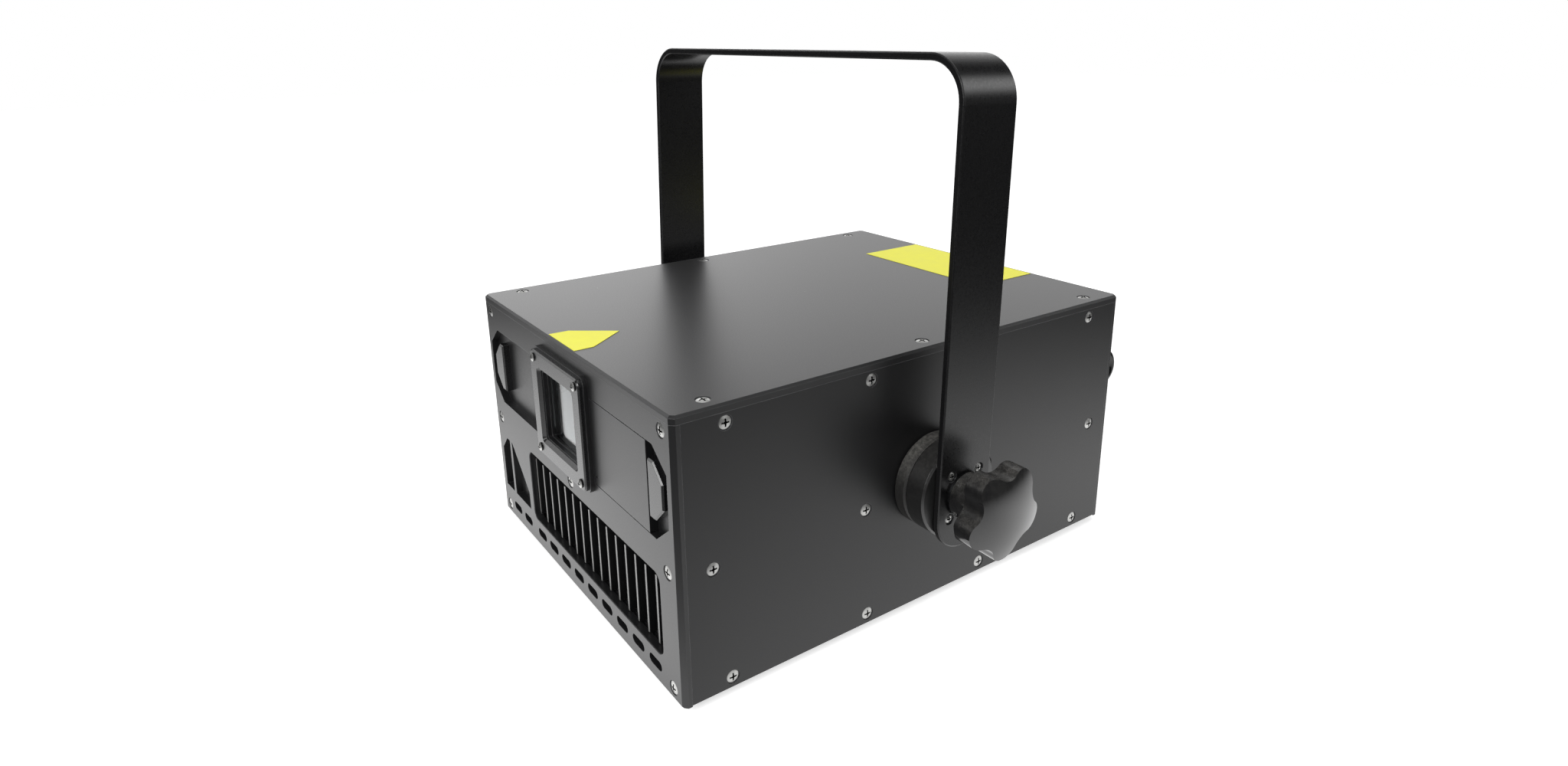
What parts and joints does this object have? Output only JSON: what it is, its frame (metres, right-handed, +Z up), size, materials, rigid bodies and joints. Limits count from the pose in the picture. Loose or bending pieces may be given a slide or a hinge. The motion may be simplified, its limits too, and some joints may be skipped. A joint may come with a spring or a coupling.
{
  "type": "laser show projector",
  "caption": "Laser show projector in a bolted black aluminium housing with a square aperture bezel, a finned grille and a tilting yoke locked by lobed knobs.",
  "frame": {"origin": "centre of the housing's flat underside, 5 mm above the surface that the rubber feet stand on", "axes": "+X to the right seen from the front, -Y out of the front face along the beam, +Z up"},
  "size_m": [0.4176, 0.4039, 0.3514],
  "materials": {
    "side_black": "matte black anodised sheet",
    "front_black": "satin black anodised, milled",
    "lid_black": "fine matte black anodised",
    "bezel_grey": "satin dark grey anodised, milled",
    "bare_aluminium": "plain milled",
    "heatsink_metal": "dull extruded",
    "steel_screw": "bright stainless",
    "steel_stud": "zinc plated",
    "rubber": "matte moulded",
    "yoke_black": "satin black powder coat on steel",
    "disc_black": "rough black cast",
    "knob_black": "polished moulded phenolic",
    "eye_black": "gloss black painted steel",
    "window_glass": "coated optical glass",
    "mirror_coat": "first-surface coated glass",
    "filter_glass": "dichroic coated glass",
    "laser_case_red": "red anodised",
    "laser_case_green": "green anodised",
    "laser_case_blue": "blue anodised",
    "motor_metal": "turned",
    "black_plastic": "fine moulded",
    "board_green": "solder mask",
    "supply_case": "plain sheet",
    "display_glass": "polished window",
    "button_plastic": "fine moulded",
    "nickel": "nickel plated"
  },
  "bodies": {
    "housing": {"base_plate": "side_black", "lower_rails": "bare_aluminium", "upper_rails": "bare_aluminium", "side_panel_left": "side_black", "side_panel_right": "side_black", "front_plate": "front_black", "front_backing": "front_black", "end_block_left": "bezel_grey", "end_block_right": "bezel_grey", "cover_panel": "front_black", "aperture_spacer": "front_black", "aperture_bezel": "bezel_grey", "aperture_glass": "window_glass", "rear_plate": "front_black", "lid": "lid_black", "rubber_feet": "rubber", "panel_screws": "steel_screw", "bezel_screws": "steel_screw", "optical_bench": "bare_aluminium", "heatsink": "heatsink_metal", "laser_red": "laser_case_red", "laser_green": "laser_case_green", "laser_blue": "laser_case_blue", "combiner_mounts": "bare_aluminium", "combiner_optics": "filter_glass", "galvo_block": "side_black", "galvo_motor_x": "motor_metal", "galvo_motor_y": "motor_metal", "power_supply": "supply_case", "control_board": "board_green", "power_inlet": "black_plastic", "dmx_in": "black_plastic", "dmx_out": "black_plastic", "ilda_socket": "nickel", "display": "display_glass", "key_switch": "nickel", "safety_eye": "eye_black", "fan_frame_left": "black_plastic", "fan_frame_right": "black_plastic", "pivot_disc_left": "disc_black", "pivot_disc_right": "disc_black", "pivot_studs": "steel_stud"},
    "yoke": {"yoke": "yoke_black", "arm_disc_left": "disc_black", "arm_disc_right": "disc_black", "arm_screws": "steel_screw"},
    "lock_washer_left": {"lock_washer_left": "steel_stud"},
    "lock_washer_right": {"lock_washer_right": "steel_stud"},
    "lock_knob_left": {"lock_knob_left": "knob_black"},
    "lock_knob_right": {"lock_knob_right": "knob_black"},
    "lock_plug": {"lock_plug": "nickel"},
    "key": {"key": "nickel"},
    "menu_button_1": {"menu_button_1": "button_plastic"},
    "menu_button_2": {"menu_button_2": "button_plastic"},
    "menu_button_3": {"menu_button_3": "button_plastic"},
    "menu_button_4": {"menu_button_4": "button_plastic"},
    "fan_rotor_left": {"fan_rotor_left": "black_plastic"},
    "fan_rotor_right": {"fan_rotor_right": "black_plastic"},
    "scan_mirror_x": {"scan_mirror_x": "mirror_coat"},
    "scan_mirror_y": {"scan_mirror_y": "mirror_coat"}
  },
  "joints": [
    {"name": "yoke_tilt", "type": "hinge", "parent": "housing", "child": "yoke", "pos_m": [0, 0, 0.088], "axis": [1, 0, 0], "range_deg": [-100, 100]},
    {"name": "knob_slide_left", "type": "slide", "parent": "housing", "child": "lock_washer_left", "axis": [-1, 0, 0], "range_m": [0, 0.0025]},
    {"name": "knob_turn_left", "type": "hinge", "parent": "lock_washer_left", "child": "lock_knob_left", "pos_m": [0, 0, 0.088], "axis": [-1, 0, 0], "range_deg": [0, 720]},
    {"name": "knob_slide_right", "type": "slide", "parent": "housing", "child": "lock_washer_right", "axis": [1, 0, 0], "range_m": [0, 0.0025]},
    {"name": "knob_turn_right", "type": "hinge", "parent": "lock_washer_right", "child": "lock_knob_right", "pos_m": [0, 0, 0.088], "axis": [1, 0, 0], "range_deg": [0, 720]},
    {"name": "key_turn", "type": "hinge", "parent": "housing", "child": "lock_plug", "pos_m": [0.096, 0, 0.142], "axis": [0, -1, 0], "range_deg": [0, 90]},
    {"name": "key_pull", "type": "slide", "parent": "lock_plug", "child": "key", "axis": [0, 1, 0], "range_m": [0, 0.016]},
    {"name": "menu_press_1", "type": "slide", "parent": "housing", "child": "menu_button_1", "axis": [0, -1, 0], "range_m": [0, 0.0008], "stiffness_N_per_m": 300, "springref_m": -0.002},
    {"name": "menu_press_2", "type": "slide", "parent": "housing", "child": "menu_button_2", "axis": [0, -1, 0], "range_m": [0, 0.0008], "stiffness_N_per_m": 300, "springref_m": -0.002},
    {"name": "menu_press_3", "type": "slide", "parent": "housing", "child": "menu_button_3", "axis": [0, -1, 0], "range_m": [0, 0.0008], "stiffness_N_per_m": 300, "springref_m": -0.002},
    {"name": "menu_press_4", "type": "slide", "parent": "housing", "child": "menu_button_4", "axis": [0, -1, 0], "range_m": [0, 0.0008], "stiffness_N_per_m": 300, "springref_m": -0.002},
    {"name": "fan_spin_left", "type": "hinge", "parent": "housing", "child": "fan_rotor_left", "pos_m": [-0.062, 0, 0.04], "axis": [0, 1, 0], "continuous": true},
    {"name": "fan_spin_right", "type": "hinge", "parent": "housing", "child": "fan_rotor_right", "pos_m": [0.062, 0, 0.04], "axis": [0, 1, 0], "continuous": true},
    {"name": "scan_turn_x", "type": "hinge", "parent": "housing", "child": "scan_mirror_x", "pos_m": [0, -0.151, 0.104], "axis": [0, 1, 0], "range_deg": [-12, 12], "stiffness_Nm_per_rad": 0.01},
    {"name": "scan_turn_y", "type": "hinge", "parent": "housing", "child": "scan_mirror_y", "pos_m": [0, -0.151, 0.1265], "axis": [1, 0, 0], "range_deg": [-12, 12], "stiffness_Nm_per_rad": 0.01}
  ],
  "couplings": [
    {"joint": "knob_slide_left", "follows": "knob_turn_left", "m_per_rad": 0.00019894},
    {"joint": "knob_slide_right", "follows": "knob_turn_right", "m_per_rad": 0.00019894}
  ]
}
